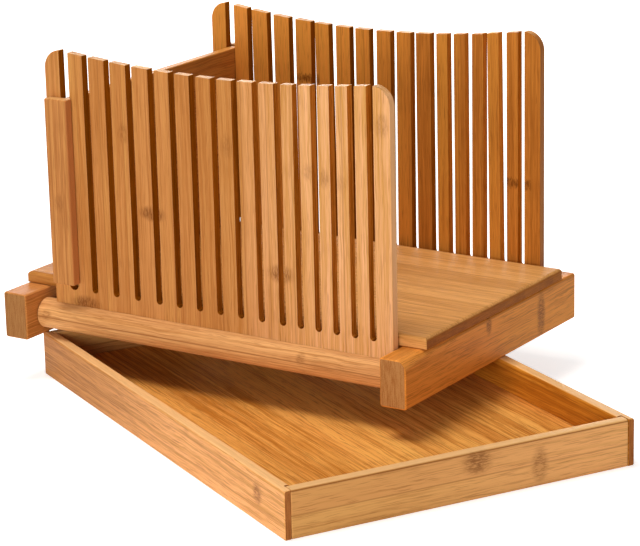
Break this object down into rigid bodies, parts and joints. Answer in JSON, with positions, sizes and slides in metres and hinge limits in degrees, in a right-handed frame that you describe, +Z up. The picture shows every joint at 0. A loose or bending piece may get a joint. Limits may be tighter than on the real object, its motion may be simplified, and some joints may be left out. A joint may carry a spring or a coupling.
{
  "type": "bread slicing guide",
  "caption": "Bread slicing guide in laminated bamboo: slotted panels on hinge rods between rails, a cutting deck, a lift-out end board, and a crumb tray turned askew below.",
  "frame": {"origin": "middle of the bounding box's footprint, on the table", "axes": "+X along the slotted panels towards the open end, +Y from the front panel to the rear panel, +Z up"},
  "size_m": [0.4624, 0.3996, 0.238],
  "materials": {
    "rail_bamboo": "oiled side-pressed strips",
    "panel_bamboo": "oiled, strips upright",
    "rod_bamboo": "turned from laminated strips",
    "deck_bamboo": "oiled, rounded top edges",
    "end_board_bamboo": "oiled",
    "tray_bamboo": "oiled, rounded rim",
    "tray_floor_bamboo": "smooth, deeper tone",
    "steel": "bright zinc"
  },
  "bodies": {
    "tray": {"tray_near_long_wall": "tray_bamboo", "tray_far_long_wall": "tray_bamboo", "tray_left_short_wall": "tray_bamboo", "tray_right_short_wall": "tray_bamboo", "tray_floor": "tray_floor_bamboo"},
    "guide": {"left_rail": "rail_bamboo", "right_rail": "rail_bamboo", "cutting_deck": "deck_bamboo", "deck_screw_front_left": "steel", "deck_screw_front_right": "steel", "deck_screw_rear_left": "steel", "deck_screw_rear_right": "steel"},
    "front_panel": {"front_slotted_panel": "panel_bamboo", "front_hinge_rod": "rod_bamboo", "hinge_pin_front_left": "steel", "hinge_pin_front_right": "steel"},
    "rear_panel": {"rear_slotted_panel": "panel_bamboo", "rear_hinge_rod": "rod_bamboo", "hinge_pin_rear_left": "steel", "hinge_pin_rear_right": "steel"},
    "end_stop": {"end_board": "end_board_bamboo", "front_end_batten": "end_board_bamboo", "rear_end_batten": "end_board_bamboo"}
  },
  "joints": [
    {"name": "guide_lift", "type": "slide", "parent": "tray", "child": "guide", "axis": [0, 0, 1], "range_m": [0, 0.12]},
    {"name": "front_panel_fold", "type": "hinge", "parent": "guide", "child": "front_panel", "pos_m": [-0.06024, -0.0198, 0.0474], "axis": [-1, 0, 0], "range_deg": [0, 5]},
    {"name": "rear_panel_fold", "type": "hinge", "parent": "guide", "child": "rear_panel", "pos_m": [-0.06024, 0.1789, 0.0474], "axis": [1, 0, 0], "range_deg": [0, 11]},
    {"name": "end_board_lift", "type": "slide", "parent": "guide", "child": "end_stop", "axis": [0, 0, 1], "range_m": [0, 0.17]}
  ]
}
